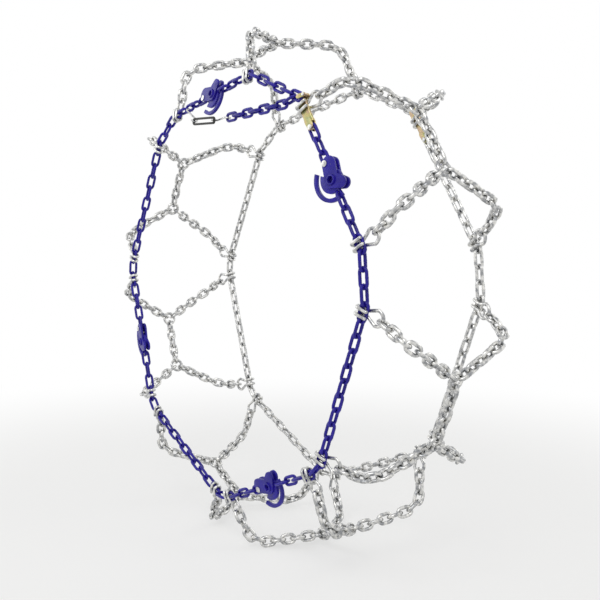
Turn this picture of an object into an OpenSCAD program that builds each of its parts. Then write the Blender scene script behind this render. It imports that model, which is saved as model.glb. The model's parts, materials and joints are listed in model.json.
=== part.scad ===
// Snow chain net for one truck tyre, drawn as it sits when fitted and tensioned.
// The wheel axis is Y, with the outer face towards -Y. The origin is the wheel's centre.

/* [Tyre that the net fits] */
// Radius of the tyre's tread at its crown
tyre_radius = 524; // [430:1:640]
// Width between the two side chains' centre lines
net_width = 290; // [230:1:360]
// How far inside the tread radius the side chains lie
sidewall_drop = 82; // [65:1:100]
// Lean of the sidewall that the side chains rest on, in degrees
sidewall_lean = 10; // [4:1:14]
// Radius that the cross chains bend round at the tyre's shoulder
shoulder_bend = 30; // [22:1:38]

/* [Cross chains] */
// Wire diameter of a cross chain link
cross_wire = 7; // [5:0.1:8.5]
// Inner length of a cross chain link, before it is fitted to a whole count
cross_link_length = 22; // [18:0.1:27]
// Side play of a cross chain link round its neighbour's wire
cross_play = 3; // [2:0.1:4]
// Links in the bridge between the two junction rings of a unit
bridge_links = 5; // [3:2:9]
// Inner radius of a junction ring
ring_radius = 11; // [9:0.1:14]

/* [Side chains] */
// Wire diameter of a side chain link
side_wire = 6; // [5:0.1:7.2]
// Inner length of a side chain link, before it is fitted to a whole count
side_link_length = 30; // [25:0.1:36]
// Side play of a side chain link round its neighbour's wire
side_play = 3; // [2.5:0.1:4]
// Angle that one unit of the net spans round the wheel, in degrees
unit_angle = 39; // [36:0.5:41]
// Where the first unit's middle stands, in degrees clockwise from the top
first_unit_angle = 58; // [0:1:90]

/* [Cross chain hooks] */
// Wire diameter of a cross chain hook
hook_wire = 6.5; // [5:0.1:7.8]
// Distance between a hook's two prongs
prong_spacing = 12.2; // [11.5:0.1:13]
// Length of a prong from the outside of its bend to its tip
prong_length = 27; // [22:0.5:31]
// Outer width of a hook's eye
eye_width = 35; // [30:0.5:42]
// Distance from the side chain to the middle of a hook's eye
eye_reach = 25; // [22:0.5:30]

/* [Tensioning cams] */
// Thickness of a cam disc
cam_thickness = 6; // [5:0.1:7]
// Thickness of a cam's side plate
cam_plate = 4; // [3:0.1:5]
// How much chain a cam takes up over its turn
cam_lift = 9; // [6:0.5:11]
// How far a cam turns between open and locked, in degrees
cam_turn = 130; // [100:5:135]
// Width of the arm that a cam disc carries the chain on
cam_arm = 7.5; // [6:0.1:9]
// Diameter of the anchor rivet
anchor_rivet = 7; // [6:0.1:8]
// Size across the flats of the wrench socket
socket_flats = 12; // [9:0.1:13]
// Depth of the wrench socket
socket_depth = 9; // [6:0.5:12]

/* [Joint hook and tail] */
// Distance from the first hook to the link that the joint hook holds
joint_reach = 20; // [19:0.5:26]
// Thickness of a joint hook's cheek
joint_cheek = 3.2; // [2.5:0.1:4]
// Number of links in the free tail
tail_links = 8; // [6:2:10]
// Wire diameter of the S-hooks on the tail tie
tie_wire = 4; // [3:0.1:5]
// Thickness of the rubber tie
tie_thickness = 4.5; // [3.5:0.1:5.2]

/* [Fits] */
// Gap between two linked wires
link_gap = 0.4; // [0.3:0.05:0.6]
// Radial clearance of a pivot in its hole
pivot_gap = 0.1; // [0.05:0.05:0.2]
// Clearance between faces that slide past each other
slide_gap = 0.5; // [0.3:0.05:0.6]

/* [Hidden] */
steel = [0.78, 0.79, 0.80];
blue = [0.19, 0.16, 0.58];
brass = [0.76, 0.72, 0.50];
black = [0.09, 0.09, 0.09];

// Names of the pieces that each unit of the net has, and of those that each cam has
UNITS = 7;
CAM_UNITS = [1, 3, 5, 7];

// Side chains: radius, half width, and the count of pitches from hook to hook
side_radius = tyre_radius - sidewall_drop;
side_offset = net_width / 2;
side_step_wanted = side_link_length - link_gap;
span_pitches = 2 * round(side_radius * sin(unit_angle / 2) / side_step_wanted);
// Links between one unit and the next; the last gap holds the joint
GAP_LINKS = [3, 1, 1, 1, 1, 3];
function half_span(s) = span_pitches * s / 2;
function chord_height(s) = sqrt(side_radius ^ 2 - half_span(s) ^ 2);
// The chain turns a corner about the middle of a hooking link's round end
side_width = side_wire + side_play;
corner_inset = (side_width - link_gap) / 2;
nose_gap = (side_wire + link_gap) / 2;
function corner_x(s) = half_span(s) + s / 2 - corner_inset;
function end_angle(s) = atan2(corner_x(s), chord_height(s));
function end_radius(s) = norm([corner_x(s), chord_height(s)]);
function joint_angle(s) = atan2(half_span(s) + joint_reach + nose_gap, chord_height(s));
function joint_radius(s) = norm([half_span(s) + joint_reach + nose_gap, chord_height(s)]);
function gap_angle(s, n) = 2 * asin((n * s + 2 * corner_inset) / (2 * end_radius(s)));
function joint_gap_angle(s, n) =
    let (a = end_radius(s), b = joint_radius(s))
    acos((a ^ 2 + b ^ 2 - (n * s + corner_inset - nose_gap) ^ 2) / (2 * a * b));
function sum(list, i = 0) = i == len(list) ? 0 : list[i] + sum(list, i + 1);
function turn_used(s) =
    (2 * UNITS - 1) * end_angle(s) + joint_angle(s) + sum([for (n = GAP_LINKS) gap_angle(s, n)]);
joint_links = round((360 - turn_used(side_step_wanted)) * PI / 180 * side_radius / side_step_wanted);
// The pitch at which a whole number of side links goes once round the wheel
function closing_pitch(low, high, turns = 40) =
    let (s = (low + high) / 2)
    turns == 0 ? s
    : turn_used(s) + joint_gap_angle(s, joint_links) > 360 ? closing_pitch(low, s, turns - 1)
    : closing_pitch(s, high, turns - 1);
side_step = closing_pitch(0.85 * side_step_wanted, 1.15 * side_step_wanted);
hook_x = half_span(side_step);
run_height = chord_height(side_step);
bar_offset = (side_width + side_wire) / 2;
// Where unit u's middle stands, u counted from 1
function unit_middle(u) =
    first_unit_angle
    + sum([for (k = [0 : 1 : u - 2]) 2 * end_angle(side_step) + gap_angle(side_step, GAP_LINKS[k])]);

function unit(v) = v / norm(v);
function thousandths(v) = round(1000 * v) / 1000;
// A place or direction of a unit's left outer hook, taken to its right side (m = -1) or inner face (n = -1)
function flipped(v, m, n) = [m * v.x, n * v.y, v.z];
// Directions on the sidewall in a unit's own frame, where its middle is at the top
side_face = [0, -cos(sidewall_lean), sin(sidewall_lean)];
side_up = [0, sin(sidewall_lean), cos(sidewall_lean)];
function run_point(i) = [(i + 0.5) * side_step - hook_x, -side_offset, run_height];
hook_point = [-hook_x, -side_offset, run_height];

// Cross chain hooks: the bend goes round the side link's inner bar
hook_layer = side_wire / 2 + hook_wire / 2 + link_gap;
eye_radius = (eye_width - hook_wire) / 2;
eye_hole = eye_radius - hook_wire / 2;
knuckle = 0.2;

// Cross chains: the path from the hook's eye over the shoulder to the junction ring
cross_width = cross_wire + cross_play;
cross_step_wanted = cross_link_length - link_gap;
crown_radius = tyre_radius + cross_width / 2 + cross_wire;
bridge_angle = bridge_links * asin(cross_step_wanted / (2 * crown_radius));
ring_angle = bridge_angle + asin(ring_radius / crown_radius);
eye_middle = hook_point + eye_reach * side_up - hook_layer * side_face;
arm_start_angle = atan2(eye_middle.x, eye_middle.z);
arm_start_radius = norm([eye_middle.x, eye_middle.z]);
wall_rise = crown_radius - arm_start_radius - shoulder_bend * (1 - sin(sidewall_lean));
wall_run = wall_rise / cos(sidewall_lean);
bend_run = shoulder_bend * (90 - sidewall_lean) * PI / 180;
crown_start = eye_middle.y + wall_run * sin(sidewall_lean) + shoulder_bend * cos(sidewall_lean);
arm_run = wall_run + bend_run - crown_start;
// Slope of the path at run m: the sidewall's lean, then the bend, then level on the tread
function heading(m) = min(90, sidewall_lean + max(0, m - wall_run) / shoulder_bend * 180 / PI);
function path_radius(m) =
    m < wall_run ? arm_start_radius + m * cos(sidewall_lean)
    : crown_radius - shoulder_bend * (1 - sin(heading(m)));
function path_offset(m) =
    m < wall_run ? eye_middle.y + m * sin(sidewall_lean)
    : m < wall_run + bend_run ? crown_start - shoulder_bend * cos(heading(m))
    : crown_start + m - wall_run - bend_run;
function path_angle(u) = arm_start_angle - u * (ring_angle + arm_start_angle);
function path(u) =
    let (m = u * arm_run, a = path_angle(u))
    [path_radius(m) * sin(a), path_offset(m), path_radius(m) * cos(a)];
function path_normal(u) =
    let (h = heading(u * arm_run), a = path_angle(u))
    [sin(h) * sin(a), -cos(h), sin(h) * cos(a)];
// The links share out the twist between the sidewall and the tread over this much of the path
twist_spread = 0.2;
function link_normal(u) =
    unit(path_normal(u) + path_normal(max(0, u - twist_spread)) + path_normal(min(1, u + twist_spread)));
// Links on edge bend about the middles of their round ends, so the corners between links
// are further apart along a flat link than along one on edge
cross_inset = (cross_width - link_gap) / 2;
eye_inset = eye_hole - link_gap / 2;
ring_inset = ring_radius - link_gap / 2;
arm_length = norm([arm_run, (arm_start_angle + ring_angle) * PI / 180 * crown_radius]);
arm_links = 2 * round(((arm_length - eye_inset - ring_inset) / cross_step_wanted - 1) / 2) + 1;
function corner_step(k, step) =
    step + (k % 2 == 0 ? -1 : 1) * 2 * cross_inset
    + (k == 0 ? eye_inset + cross_inset : 0) + (k == arm_links - 1 ? ring_inset + cross_inset : 0);
// The next point on the path at a given straight distance, and a walk of such points
function advance(from, step, low, high, turns = 26) =
    let (u = (low + high) / 2)
    turns == 0 ? u
    : norm(path(u) - path(from)) > step ? advance(from, step, low, u, turns - 1)
    : advance(from, step, u, high, turns - 1);
function walk(u, step, k = 0) =
    let (reach = corner_step(k, step))
    k == arm_links ? [u] : concat([u], walk(advance(u, reach, u, u + 2 * reach / arm_run), step, k + 1));
function fitted_step(low, high, turns = 26) =
    let (step = (low + high) / 2)
    turns == 0 ? step
    : walk(0, step)[arm_links] > 1 ? fitted_step(low, step, turns - 1)
    : fitted_step(step, high, turns - 1);

// Tensioning cams: each stands in for two side links
function cam_reversed(u) = u == 3 || u == 5;
anchored_link = 2 * floor((span_pitches - 2) / 4);
take_up = anchored_link + 3;
cam_radius = 0.85 * side_step;
cam_hub = cam_radius - side_wire / 2 - 1;
cam_x = run_point(anchored_link + 2).x - link_gap / 2 - side_wire / 2 - cam_radius;
anchor_x = run_point(anchored_link).x - link_gap / 2 - anchor_rivet / 2 - cam_x;
// A link's round end needs this much relief to pass the edge of the flat disc
edge_relief = side_width / 2 - sqrt((side_width / 2) ^ 2 - (cam_thickness / 2) ^ 2);
slot_inner = side_wire / 2 + slide_gap;
slot_outer = slot_inner + edge_relief;
slot_end_wall = 14;
function cam_spiral(a) = cam_radius - cam_lift * a / cam_turn;
plate_low = cam_thickness / 2 + slide_gap;
plate_high = plate_low + cam_plate;
boss_radius = socket_flats / 2 + 3.5;
boss_top = plate_high + 3;
rivet_head = 2;
stub_radius = 6;

// Joint hook: a nose holds the side chain's end link, and a clevis holds the next link
cheek_low = side_wire / 2 + slide_gap;
cheek_high = cheek_low + joint_cheek;
nose_x = -joint_reach - nose_gap;
clevis_x = 1.5 * side_step + nose_gap;
block_left = -joint_reach + side_wire + slide_gap + link_gap / 2;
block_right = -(prong_spacing + hook_wire) / 2 - slide_gap;
web_end = 1.5 * side_step - link_gap / 2 - side_wire - slide_gap;
keeper_pivot = [nose_x + side_wire - slide_gap, bar_offset + side_wire];
keeper_lobe = 4;
nose_lobe = side_wire / 2 + 3;
keeper_thickness = 2.5;
keeper_rivet = 3.2;

// The joint run ends at the joint hook; its last link is the one that the nose holds
function turned(p, a) = [p.x * cos(a) + p.z * sin(a), p.y, p.z * cos(a) - p.x * sin(a)];
joint_corner = turned([corner_x(side_step), -side_offset, run_height], unit_middle(UNITS));
nose_point = turned(hook_point + [nose_x, 0, 0], unit_middle(1));
joint_dir = unit(nose_point - joint_corner);
joint_start = joint_corner + corner_inset * joint_dir;
joint_end = nose_point + nose_gap * joint_dir;
joint_out = [-joint_dir.z, 0, joint_dir.x];
joint_face = cos(sidewall_lean) * [0, -1, 0] + sin(sidewall_lean) * joint_out;
// The held link lies at a slant to the joint hook, so the keeper stands clear of it
held_slant = acos(joint_face * turned(side_face, unit_middle(1)));
keeper_low = cheek_low + bar_offset * tan(held_slant);

// Tail: it hangs from the held link's inner bar, then runs back along the face
tail_first_lean = 52;
tail_turn_in = 23;
held_middle = joint_end - side_step / 2 * joint_dir;
joint_up = cross(joint_face, joint_dir);
tail_wire = held_middle - (bar_offset - side_wire - link_gap) * joint_up;
tail_down = -cos(tail_first_lean) * joint_out - sin(tail_first_lean) * joint_dir;
tail_back = -cos(tail_turn_in) * joint_dir - sin(tail_turn_in) * joint_out;
tail_root = tail_wire + nose_gap * tail_down;
tail_bend = tail_root + side_step * tail_down;
tail_start = tail_bend + corner_inset * (tail_down - tail_back);
tail_end = tail_start + (tail_links - 1) * side_step * tail_back;
// Tie: an S-hook on the tail, a rubber strap, and an S-hook on a link of the last unit
tie_loop = 7;
tie_level = 7;
tie_shank = 36;
tie_width = 4.5;
tie_hole = 3.5;
tie_slack = tie_loop - tie_wire / 2 - side_wire / 2 - link_gap;
tie_start = tail_end + (nose_gap + tie_slack) * tail_back;
tie_flat = [2 * side_step - hook_x, -side_offset, run_height];
tie_link = turned(tie_flat - bar_offset * side_up, unit_middle(UNITS));
tie_near = tie_start + tie_shank * unit(tail_back + [0, -tie_level / tie_shank, 0]);
tie_course = unit([tie_near.x, 0, tie_near.z] - [tie_link.x, 0, tie_link.z]);
tie_inward = unit([-tie_link.x, -tie_level, -tie_link.z] + [0, -100, 0]);
tie_far = tie_link + tie_shank * unit(tie_course + 0.9 * tie_inward);
// The strap's round ends bear on the inside of the S-hooks' loops
tie_eye_reach = tie_hole + sqrt((tie_loop - tie_wire / 2 - 2 * link_gap) ^ 2 - (tie_thickness / 2) ^ 2);
tie_near_eye = tie_near + tie_eye_reach * unit(tie_near - tie_start);
tie_far_eye = tie_far + tie_eye_reach * unit(tie_far - tie_link);

// Puts children at a point, with their X along x and their Z as near to z as can be
module place(point, x, z) {
    ux = unit(x);
    uz = unit(z - (z * ux) * ux);
    uy = cross(uz, ux);
    multmatrix([
        [ux.x, uy.x, uz.x, point.x],
        [ux.y, uy.y, uz.y, point.y],
        [ux.z, uy.z, uz.z, point.z],
        [0, 0, 0, 1]
    ]) children();
}

// A bent round wire: an arc about Z, counted from X
module bend(radius, wire, from, sweep) {
    rotate([0, 0, from]) rotate_extrude(angle = sweep, $fn = 60)
        translate([radius, 0]) circle(d = wire, $fn = 32);
}

// A straight round wire between two points
module bar(a, b, wire, short = 0) {
    place(a, b - a, [0, 0, 1])
        translate([short, 0, 0]) rotate([0, 90, 0])
            cylinder(h = thousandths(norm(b - a)) - 2 * short, d = wire, $fn = 32);
}

// One link: inner length and width, long side along X, flat in XY
module link(length, width, wire) {
    r = (width + wire) / 2;
    s = thousandths((length - width) / 2);
    translate([s, 0, 0]) bend(r, wire, -90, 180);
    translate([-s, 0, 0]) bend(r, wire, 90, 180);
    translate([-s, r, 0]) rotate([0, 90, 0]) cylinder(h = 2 * s, d = wire, $fn = 32);
    translate([-s, -r, 0]) rotate([0, 90, 0]) cylinder(h = 2 * s, d = wire, $fn = 32);
}

// A straight run of n side links; an even count lies flat on the face, an odd one on edge
module side_run(p, q, n, first, face) {
    step = norm(q - p) / n;
    for (k = [0 : n - 1]) {
        place(p + (k + 0.5) * (q - p) / n, q - p, (k + first) % 2 == 0 ? face : cross(face, q - p))
            link(step + link_gap, side_width, side_wire);
    }
}

module in_unit(u) {
    rotate([0, unit_middle(u), 0]) children();
}

// Side links of unit u: link 0 and link span_pitches are the ones that carry the hooks
module unit_links(u, first, last) {
    in_unit(u) side_run(run_point(first - 1), run_point(last), last - first + 1, first, side_face);
}

// Side links between unit u and the next
module gap_run(u) {
    turn = gap_angle(side_step, GAP_LINKS[u - 1]) / 2;
    height = end_radius(side_step) * cos(turn);
    half = GAP_LINKS[u - 1] * side_step / 2;
    rotate([0, unit_middle(u) + end_angle(side_step) + turn, 0])
        side_run([-half, -side_offset, height], [half, -side_offset, height], GAP_LINKS[u - 1], 1, side_face);
}

module joint_run() {
    side_run(joint_start, joint_end, joint_links, 1, joint_face);
}

// The four stretches of outer side chain between cams, and the one up to the joint
module outer_side_chain(k) {
    color(blue) {
        if (k == 1) unit_links(1, 2, anchored_link);
        if (k == 2) {
            unit_links(1, take_up + 1, span_pitches);
            gap_run(1);
            unit_links(2, 0, span_pitches);
            gap_run(2);
            unit_links(3, 0, span_pitches - take_up - 1);
        }
        if (k == 3) {
            unit_links(3, span_pitches - anchored_link, span_pitches);
            gap_run(3);
            unit_links(4, 0, span_pitches);
            gap_run(4);
            unit_links(5, 0, span_pitches - take_up - 1);
        }
        if (k == 4) {
            unit_links(5, span_pitches - anchored_link, span_pitches);
            gap_run(5);
            unit_links(6, 0, span_pitches);
            gap_run(6);
            unit_links(7, 0, anchored_link);
        }
        if (k == 5) {
            unit_links(7, take_up + 1, span_pitches);
            joint_run();
        }
    }
}

module inner_side_chain(k) {
    color(steel) mirror([0, 1, 0]) {
        if (k == 1) {
            unit_links(1, 2, span_pitches);
            gap_run(1);
            unit_links(2, 0, span_pitches);
        }
        if (k == 2) {
            gap_run(2);
            unit_links(3, 0, span_pitches);
            gap_run(3);
            unit_links(4, 0, span_pitches);
        }
        if (k == 3) {
            gap_run(4);
            unit_links(5, 0, span_pitches);
            gap_run(5);
            unit_links(6, 0, span_pitches);
        }
        if (k == 4) {
            gap_run(6);
            unit_links(7, 0, span_pitches);
            joint_run();
        }
    }
}

// One hook: X points away from the side chain, Z to the outside of the net
module cross_hook() {
    prong = prong_spacing / 2;
    tip = prong_length - hook_wire / 2 - hook_layer - bar_offset;
    elbow = [thousandths(eye_reach - 1.2 * eye_radius), prong, -hook_layer];
    shoulder = [eye_reach, eye_radius, -hook_layer];
    for (m = [0, 1]) mirror([0, m, 0]) {
        translate([tip, prong, hook_layer]) sphere(d = hook_wire, $fn = 32);
        bar([-bar_offset, prong, hook_layer], [tip, prong, hook_layer], hook_wire);
        translate([-bar_offset, prong, 0]) rotate([90, 0, 0]) bend(hook_layer, hook_wire, 90, 180);
        bar([-bar_offset, prong, -hook_layer], elbow, hook_wire);
        translate(elbow) sphere(d = hook_wire + knuckle, $fn = 32);
        bar(elbow, shoulder, hook_wire, knuckle);
        translate(shoulder) sphere(d = hook_wire + knuckle, $fn = 32);
    }
    translate([eye_reach, 0, -hook_layer]) bend(eye_radius, hook_wire, -90, 180);
}

// All the hooks of one face of the net: face is 1 outside and -1 inside
module cross_hooks(face) {
    for (u = [1 : UNITS]) in_unit(u) for (m = [1, -1])
        place(flipped(hook_point, m, face), flipped(side_up, m, face), flipped(side_face, m, face))
            cross_hook();
}

// One arm of a unit's cross chain, from an outer hook on its left to a junction ring
module cross_arm() {
    step = fitted_step(0.7 * cross_step_wanted, 1.3 * cross_step_wanted);
    stops = walk(0, step);
    for (k = [0 : arm_links - 1]) {
        p = path(stops[k]);
        q = path(stops[k + 1]);
        along = unit(q - p);
        normal = link_normal((stops[k] + stops[k + 1]) / 2);
        start = p + (k == 0 ? eye_inset : k % 2 == 0 ? -cross_inset : cross_inset) * along;
        place(start + step / 2 * along, along, k % 2 == 0 ? cross(normal, along) : normal)
            link(step + link_gap, cross_width, cross_wire);
    }
}

module cross_chain(u) {
    color(steel) in_unit(u) for (m = [0, 1], n = [0, 1]) mirror([m, 0, 0]) mirror([0, n, 0]) cross_arm();
}

// The two junction rings of a unit and the short chain that joins them round the tread
module bridge_chain(u) {
    step_angle = 2 * bridge_angle / bridge_links;
    color(steel) in_unit(u) {
        for (m = [-1, 1]) rotate([0, m * ring_angle, 0])
            translate([0, 0, crown_radius]) bend(ring_radius + cross_wire / 2, cross_wire, 0, 360);
        for (k = [0 : bridge_links - 1]) {
            rotate([0, (k + 0.5) * step_angle - bridge_angle, 0])
                translate([0, 0, crown_radius * cos(step_angle / 2)]) rotate([k % 2 == 0 ? 90 : 0, 0, 0])
                link(cross_link_length, cross_width, cross_wire);
        }
    }
}

// Cam parts are drawn with the pivot at the origin, X along the chain and Z outwards
module at_cam(u) {
    in_unit(u) place(
        [cam_reversed(u) ? -cam_x : cam_x, -side_offset, run_height],
        [cam_reversed(u) ? -1 : 1, 0, 0], side_face
    ) children();
}

function spoke(a, r) = r * [cos(a), sin(a)];

// Points round a set of circles, each [x, y, radius], given anticlockwise
function tangent_angle(a, b) = atan2(b.y - a.y, b.x - a.x) - acos((a.z - b.z) / norm([b.x - a.x, b.y - a.y]));
function wrap(list) = [
    for (i = [0 : len(list) - 1])
        let (
            c = list[i],
            from = tangent_angle(list[(i + len(list) - 1) % len(list)], c),
            sweep = (tangent_angle(c, list[(i + 1) % len(list)]) - from + 720) % 360,
            steps = ceil(sweep / 7)
        )
        for (k = [0 : steps]) [c.x, c.y] + spoke(from + sweep * k / steps, c.z)
];

module cam_plate_outline() {
    anchor_lobe = anchor_rivet / 2 + 6;
    pivot_lobe = cam_hub - 1;
    polygon(wrap([
        [anchor_x, 0, anchor_lobe],
        [-0.25 * cam_hub, -0.8 * cam_hub, 0.65 * cam_hub],
        [0, 0, pivot_lobe]
    ]));
}

module cam_front_plate(u) {
    color(blue) at_cam(u) difference() {
        translate([0, 0, plate_low]) linear_extrude(cam_plate) cam_plate_outline();
        translate([0, 0, plate_low - 1]) cylinder(h = cam_plate + 2, r = boss_radius + pivot_gap, $fn = 64);
        translate([anchor_x, 0, plate_low - 1])
            cylinder(h = cam_plate + 2, d = anchor_rivet + pivot_gap, $fn = 48);
    }
}

module cam_back_plate(u) {
    color(blue) at_cam(u) difference() {
        translate([0, 0, -plate_high]) linear_extrude(cam_plate) cam_plate_outline();
        translate([0, 0, -plate_high - 1])
            cylinder(h = cam_plate + 2, r = stub_radius + pivot_gap, $fn = 64);
        translate([anchor_x, 0, -plate_high - 1])
            cylinder(h = cam_plate + 2, d = anchor_rivet + pivot_gap, $fn = 48);
    }
}
// Disc with a hub, and an arm outside the slot that the take-up link rides in
module cam_outline() {
    far = -cam_turn - 8;
    near = slot_end_wall;
    difference() {
        union() {
            circle(r = cam_hub, $fn = 72);
            polygon([[0, 0], for (a = [far : 4 : near]) spoke(a, cam_spiral(a) + slot_outer + cam_arm)]);
        }
        polygon([
            for (a = [far - 4 : 4 : -1]) spoke(a, cam_spiral(a) - slot_inner),
            for (a = [0 : -4 : far - 4]) spoke(a, cam_spiral(a) + slot_outer)
        ]);
        translate([cam_radius + edge_relief / 2, 0]) circle(r = (slot_inner + slot_outer) / 2, $fn = 48);
    }
}

module cam_disc(u) {
    color(blue) at_cam(u) difference() {
        union() {
            translate([0, 0, -cam_thickness / 2]) linear_extrude(cam_thickness) cam_outline();
            cylinder(h = boss_top, r = boss_radius, $fn = 64);
            translate([0, 0, -plate_high - slide_gap]) cylinder(h = plate_high, r = stub_radius, $fn = 64);
            translate([0, 0, -plate_high - slide_gap - rivet_head])
                cylinder(h = rivet_head, r = stub_radius + 3, $fn = 64);
        }
        translate([0, 0, boss_top - socket_depth]) linear_extrude(socket_depth + 1)
            circle(d = socket_flats / cos(30), $fn = 6);
    }
}

module take_up_link(u) {
    k = cam_reversed(u) ? span_pitches - take_up : take_up;
    color(blue) unit_links(u, k, k);
}

module cam_anchor_rivets() {
    color(steel) for (u = CAM_UNITS) at_cam(u) translate([anchor_x, 0, 0]) {
        translate([0, 0, -plate_high]) cylinder(h = 2 * plate_high, d = anchor_rivet, $fn = 48);
        for (m = [0, 1]) mirror([0, 0, m])
            translate([0, 0, plate_high]) cylinder(h = rivet_head, r = anchor_rivet / 2 + 2.5, $fn = 48);
    }
}

module at_joint(inner) {
    mirror([0, inner, 0]) in_unit(1) place(hook_point, [1, 0, 0], side_face) children();
}

// Web with rounded edges under the cross hook, a nose at one end and a clevis at the other
module joint_hook(inner) {
    color(brass) at_joint(inner) difference() {
        union() {
            for (m = [-1, 1])
                bar([block_left, m * bar_offset, 0], [web_end, m * bar_offset, 0], side_wire);
            translate([block_left, -bar_offset, -side_wire / 2])
                cube([web_end - block_left, 2 * bar_offset, side_wire]);
            translate([block_left, -bar_offset, -cheek_high])
                cube([block_right - block_left, 2 * bar_offset, cheek_high]);
            translate([0, 0, -cheek_high]) linear_extrude(joint_cheek) {
                polygon(wrap([[block_right - bar_offset, 0, bar_offset], [nose_x, 0, nose_lobe]]));
                polygon(wrap([
                    [block_right - bar_offset / 2, 0, bar_offset / 2],
                    [keeper_pivot.x, keeper_pivot.y, keeper_lobe]
                ]));
            }
            translate([keeper_pivot.x, keeper_pivot.y, -cheek_high])
                cylinder(h = cheek_high + keeper_low - slide_gap, r = keeper_lobe - slide_gap, $fn = 48);
            translate([nose_x, 0, -cheek_low])
                cylinder(h = 2 * cheek_low - slide_gap, d = side_wire, $fn = 48);
            for (z = [-cheek_high, cheek_low]) translate([0, 0, z]) linear_extrude(joint_cheek)
                polygon(wrap([[web_end - 4, 0, bar_offset], [clevis_x, 0, nose_lobe]]));
            translate([web_end - 8, -bar_offset, -cheek_high]) cube([8, 2 * bar_offset, 2 * cheek_high]);
        }
        translate([clevis_x, 0, -cheek_high - 1])
            cylinder(h = 2 * cheek_high + 2, d = side_wire + pivot_gap, $fn = 48);
        translate([keeper_pivot.x, keeper_pivot.y, -1])
            cylinder(h = cheek_high, d = keeper_rivet + pivot_gap, $fn = 48);
    }
}

module joint_hook_keeper(inner) {
    color(brass) at_joint(inner) translate([0, 0, keeper_low]) difference() {
        linear_extrude(keeper_thickness)
            polygon(wrap([[keeper_pivot.x, keeper_pivot.y, keeper_lobe], [nose_x, 0, side_wire / 2 + 1]]));
        translate([keeper_pivot.x, keeper_pivot.y, -1])
            cylinder(h = keeper_thickness + 2, d = keeper_rivet + 2 * pivot_gap, $fn = 48);
    }
}

module joint_hook_pins(inner) {
    keeper_top = keeper_low + keeper_thickness + slide_gap;
    color(steel) at_joint(inner) {
        translate([clevis_x, 0, 0]) {
            translate([0, 0, -cheek_high]) cylinder(h = 2 * cheek_high, d = side_wire, $fn = 48);
            for (m = [0, 1]) mirror([0, 0, m])
                translate([0, 0, cheek_high]) cylinder(h = 1.6, r = side_wire / 2 + 2, $fn = 48);
        }
        translate([keeper_pivot.x, keeper_pivot.y, -1])
            cylinder(h = keeper_top + 1, d = keeper_rivet, $fn = 48);
        translate([keeper_pivot.x, keeper_pivot.y, keeper_top])
            cylinder(h = 1.4, r = keeper_rivet, $fn = 48);
    }
}

module tail_chain() {
    color(blue) {
        side_run(tail_root, tail_bend, 1, 1, [0, -1, 0]);
        side_run(tail_start, tail_end, tail_links - 1, 0, [0, -1, 0]);
    }
}

// S-hook whose loops go round points p and q, on opposite sides of its shank
module s_hook(p, q) {
    half = thousandths(sqrt((norm(q - p) / 2) ^ 2 - tie_loop ^ 2));
    place((p + q) / 2, q - p, cross(q - p, [0, -1, 0])) rotate([0, 0, -atan2(tie_loop, half)]) {
        translate([-half, 0, 0]) rotate([0, 90, 0]) cylinder(h = 2 * half, d = tie_wire, $fn = 32);
        for (m = [0, 180]) rotate([0, 0, m]) translate([half, tie_loop, 0]) {
            bend(tie_loop, tie_wire, -90, 180);
            translate([0, tie_loop, 0]) sphere(d = tie_wire, $fn = 32);
        }
    }
}

module tail_s_hooks() {
    color(steel) {
        s_hook(tie_start, tie_near);
        s_hook(tie_link, tie_far);
    }
}

module tail_rubber_tie() {
    span = norm(tie_far_eye - tie_near_eye);
    color(black) place(tie_near_eye, tie_far_eye - tie_near_eye, [0, -1, 0])
        translate([0, 0, -tie_thickness / 2]) linear_extrude(tie_thickness) difference() {
            polygon(wrap([[0, 0, tie_hole + tie_width], [span, 0, tie_hole + tie_width]]));
            polygon(wrap([[0, 0, tie_hole], [span, 0, tie_hole]]));
        }
}

for (u = [1 : UNITS]) cross_chain(u);
for (u = [1 : UNITS]) bridge_chain(u);
color(steel) cross_hooks(1);  // outer_cross_hooks
color(steel) cross_hooks(-1);  // inner_cross_hooks
for (k = [1 : 5]) outer_side_chain(k);
for (k = [1 : 4]) inner_side_chain(k);
for (u = CAM_UNITS) cam_front_plate(u);
for (u = CAM_UNITS) cam_back_plate(u);
for (u = CAM_UNITS) cam_disc(u);
for (u = CAM_UNITS) take_up_link(u);
cam_anchor_rivets();
joint_hook(0);
joint_hook_keeper(0);
joint_hook_pins(0);
joint_hook(1);  // inner_joint_hook
joint_hook_keeper(1);  // inner_joint_hook_keeper
joint_hook_pins(1);  // inner_joint_hook_pins
tail_chain();
tail_s_hooks();
tail_rubber_tie();
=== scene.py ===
"""Snow chain net for a truck tyre: links, hooks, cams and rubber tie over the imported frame."""

import json
import math

import bpy
import numpy as np
from mathutils import Matrix, Vector


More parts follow.
